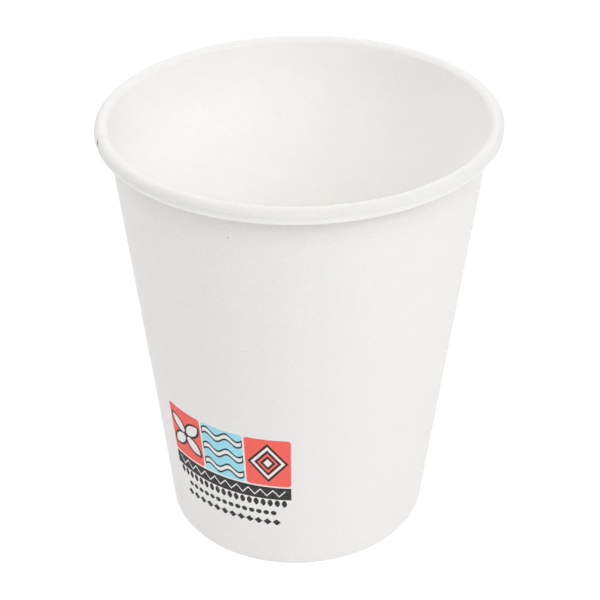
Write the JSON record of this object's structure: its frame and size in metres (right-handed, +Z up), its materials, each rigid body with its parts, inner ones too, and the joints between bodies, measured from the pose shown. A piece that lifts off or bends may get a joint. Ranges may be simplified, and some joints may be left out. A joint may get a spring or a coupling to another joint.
{
  "type": "paper coffee cup",
  "caption": "Single-wall paper cup for hot drinks, with a rolled rim, a glued side seam and a recessed base gripped by a folded hem.",
  "frame": {"origin": "centre of the foot, on the table", "axes": "+Z up along the cup's axis, -Y towards the printed front, +X to the viewer's right of it"},
  "size_m": [0.0802, 0.08, 0.092],
  "materials": {
    "wall_board": "uncoated matte white outside, thin satin coating inside",
    "base_board": "thin satin coating on the drink side, uncoated matte below"
  },
  "bodies": {
    "root": {"sidewall": "wall_board", "base_disc": "base_board"}
  },
  "joints": []
}
